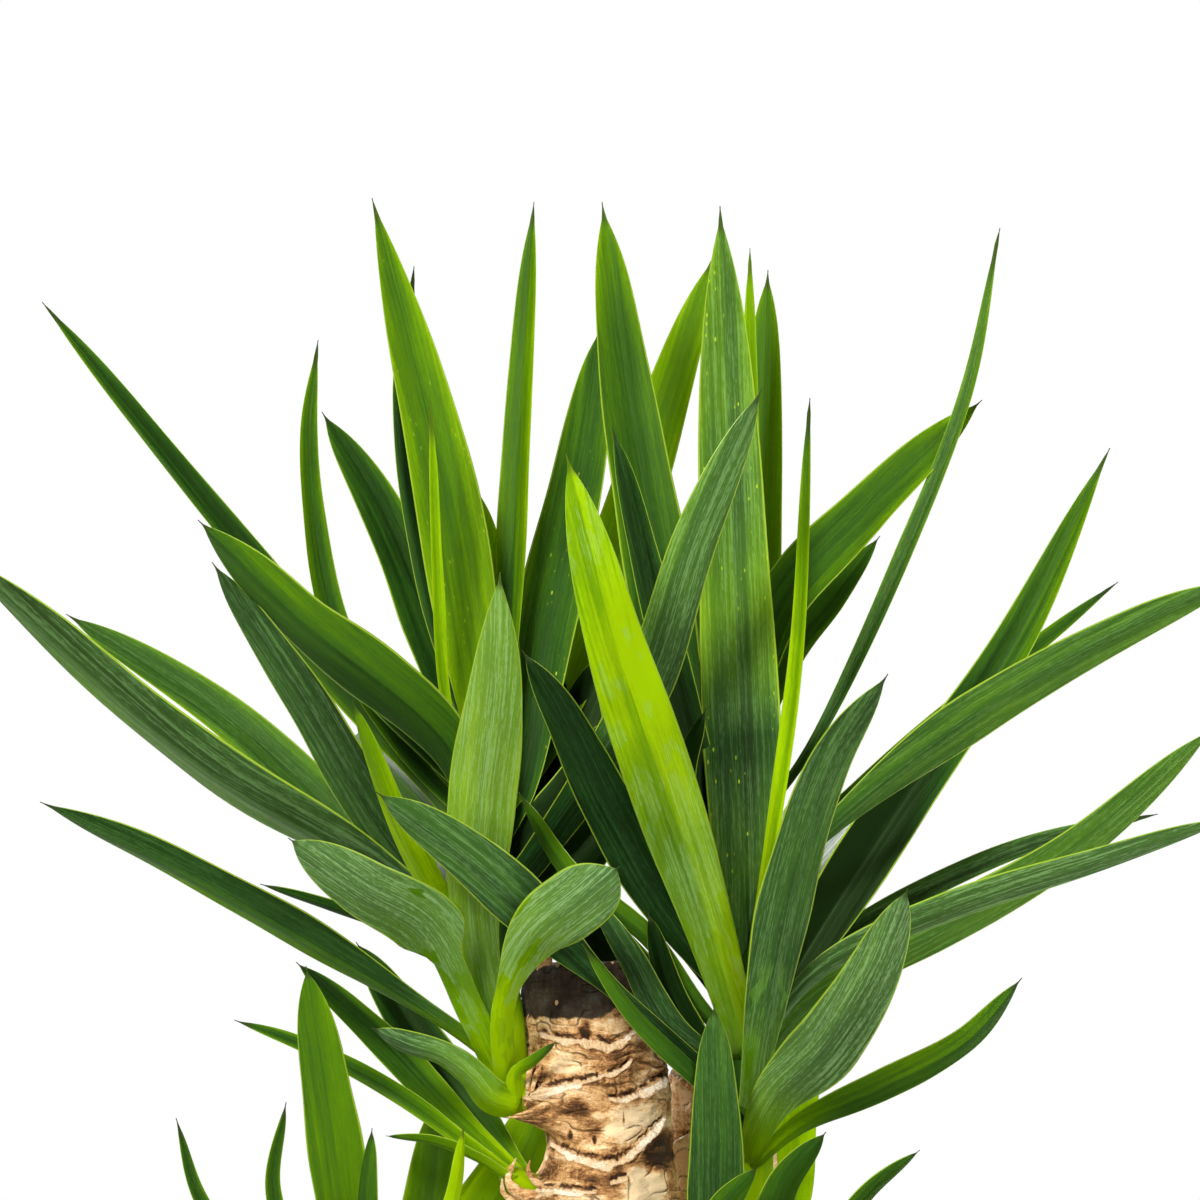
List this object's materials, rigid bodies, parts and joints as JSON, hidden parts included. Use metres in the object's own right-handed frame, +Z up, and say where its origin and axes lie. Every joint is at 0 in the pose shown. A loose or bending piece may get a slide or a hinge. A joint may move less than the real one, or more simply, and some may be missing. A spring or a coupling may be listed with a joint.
{
  "type": "potted spineless yucca",
  "caption": "Potted spineless yucca: cut bare canes with leaf-scar bands and dense heads of sword-shaped leaves, standing in a round tapered plant pot of soil",
  "frame": {"origin": "middle of the pot's flat underside, on the surface that the pot stands on", "axes": "+Z up along the canes, -Y is the front that the picture shows, +X to the right in that view"},
  "size_m": [0.6566, 0.5319, 1.0232],
  "materials": {
    "pot": "satin",
    "soil": "matte",
    "cane": "matte",
    "leaf": "satin"
  },
  "bodies": {
    "root": {"pot": "pot", "soil": "soil", "cane_tall": "cane", "cane_second": "cane", "cane_short": "cane", "head_left": "leaf", "head_right": "leaf", "shoot_small": "leaf", "head_low_left": "leaf", "head_low_right": "leaf"}
  },
  "joints": []
}
